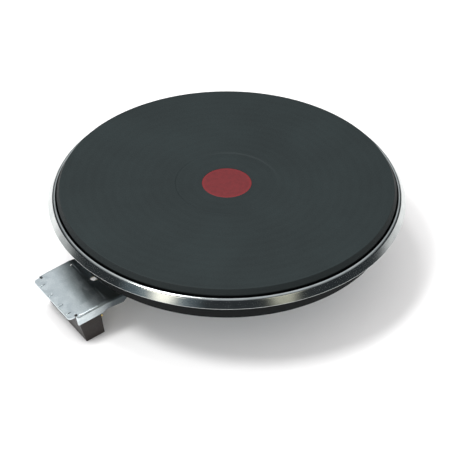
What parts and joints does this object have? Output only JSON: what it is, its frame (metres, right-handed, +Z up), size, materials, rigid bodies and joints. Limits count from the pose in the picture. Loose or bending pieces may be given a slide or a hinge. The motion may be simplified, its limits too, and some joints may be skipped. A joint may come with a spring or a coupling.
{
  "type": "electric hot plate",
  "caption": "Round sealed cast-iron cooking hot plate with a raised steel overfall rim, centre stud and a side terminal bracket carrying a screw terminal block.",
  "frame": {"origin": "on the plate's axis at the clamping face, the underside of the centre stud's hexagon collar", "axes": "+Z up through the cooking face, -X along the terminal bracket, Y across the bracket"},
  "size_m": [0.2484, 0.2316, 0.0601],
  "materials": {
    "cast_iron": "matt heat-resistant black coating on cast iron",
    "red_enamel": "matt red heat-resistant enamel",
    "stainless": "polished stainless steel",
    "galvanised": "zinc-plated sheet steel",
    "zinc_screw": "zinc-plated steel",
    "nickel": "drawn nickel wire",
    "heating_alloy": "oxidised nickel-chromium wire",
    "magnesia": "pressed magnesium oxide",
    "steatite": "unglazed steatite",
    "mineral_board": "ceramic-fibre board",
    "phenolic": "dark brown moulded phenolic",
    "brass": "tinned brass strip",
    "spring_steel": "spring strip",
    "bimetal": "rolled bimetal",
    "silver": "silver contact rivet"
  },
  "bodies": {
    "plate": {"cast_iron_plate": "cast_iron", "red_dot": "red_enamel", "overfall_rim": "stainless", "heating_coil_inner": "heating_alloy", "heating_coil_middle": "heating_alloy", "heating_coil_outer": "heating_alloy", "magnesia_inner": "magnesia", "magnesia_middle": "magnesia", "magnesia_outer": "magnesia", "insulation_ring": "mineral_board", "bottom_cover": "galvanised", "centre_stud": "zinc_screw", "anti_rotation_pin": "zinc_screw", "lead_through": "steatite", "terminal_bracket": "galvanised", "bracket_rivets": "zinc_screw", "earth_tab": "brass", "terminal_block": "phenolic", "protector_link": "nickel", "protector_housing": "steatite", "protector_base": "steatite", "bimetal_disc": "bimetal", "arm_anchor": "spring_steel", "fixed_contact": "brass", "protector_clip": "spring_steel", "contact_bar_1": "brass", "lead_1": "nickel", "lead_beads_1": "steatite", "contact_bar_2": "brass", "lead_2": "nickel", "lead_beads_2": "steatite", "contact_bar_3": "brass", "lead_3": "nickel", "lead_beads_3": "steatite", "contact_bar_4": "brass", "lead_4": "nickel", "lead_beads_4": "steatite"},
    "clamp_1": {"clamp_washer_1": "zinc_screw"},
    "clamp_2": {"clamp_washer_2": "zinc_screw"},
    "clamp_3": {"clamp_washer_3": "zinc_screw"},
    "clamp_4": {"clamp_washer_4": "zinc_screw"},
    "screw_1": {"terminal_screw_1": "zinc_screw"},
    "screw_2": {"terminal_screw_2": "zinc_screw"},
    "screw_3": {"terminal_screw_3": "zinc_screw"},
    "screw_4": {"terminal_screw_4": "zinc_screw"},
    "protector_pin": {"push_pin": "steatite"},
    "protector_arm": {"contact_arm": "spring_steel", "moving_contact": "silver"}
  },
  "joints": [
    {"name": "clamp_1_slide", "type": "slide", "parent": "plate", "child": "clamp_1", "axis": [0.1305, 0, -0.9914], "range_m": [0, 0.004]},
    {"name": "screw_1_turn", "type": "hinge", "parent": "clamp_1", "child": "screw_1", "pos_m": [-0.11621, -0.01665, -0.02176], "axis": [0.1305, 0, -0.9914], "range_deg": [0, 2058]},
    {"name": "clamp_2_slide", "type": "slide", "parent": "plate", "child": "clamp_2", "axis": [0.1305, 0, -0.9914], "range_m": [0, 0.004]},
    {"name": "screw_2_turn", "type": "hinge", "parent": "clamp_2", "child": "screw_2", "pos_m": [-0.11621, -0.00555, -0.02176], "axis": [0.1305, 0, -0.9914], "range_deg": [0, 2058]},
    {"name": "clamp_3_slide", "type": "slide", "parent": "plate", "child": "clamp_3", "axis": [0.1305, 0, -0.9914], "range_m": [0, 0.004]},
    {"name": "screw_3_turn", "type": "hinge", "parent": "clamp_3", "child": "screw_3", "pos_m": [-0.11621, 0.00555, -0.02176], "axis": [0.1305, 0, -0.9914], "range_deg": [0, 2058]},
    {"name": "clamp_4_slide", "type": "slide", "parent": "plate", "child": "clamp_4", "axis": [0.1305, 0, -0.9914], "range_m": [0, 0.004]},
    {"name": "screw_4_turn", "type": "hinge", "parent": "clamp_4", "child": "screw_4", "pos_m": [-0.11621, 0.01665, -0.02176], "axis": [0.1305, 0, -0.9914], "range_deg": [0, 2058]},
    {"name": "protector_pin_slide", "type": "slide", "parent": "plate", "child": "protector_pin", "axis": [0, 0, -1], "range_m": [0, 0.0004], "stiffness_N_per_m": 400, "springref_m": -0.0008},
    {"name": "contact_arm_bend", "type": "hinge", "parent": "plate", "child": "protector_arm", "pos_m": [0.0215, 0.01, 0.01275], "axis": [1, 0, 0], "range_deg": [0, 3.3]}
  ],
  "couplings": [
    {"joint": "screw_1_turn", "follows": "clamp_1_slide", "rad_per_m": 8976},
    {"joint": "screw_2_turn", "follows": "clamp_2_slide", "rad_per_m": 8976},
    {"joint": "screw_3_turn", "follows": "clamp_3_slide", "rad_per_m": 8976},
    {"joint": "screw_4_turn", "follows": "clamp_4_slide", "rad_per_m": 8976},
    {"joint": "contact_arm_bend", "follows": "protector_pin_slide", "rad_per_m": 142.86}
  ]
}
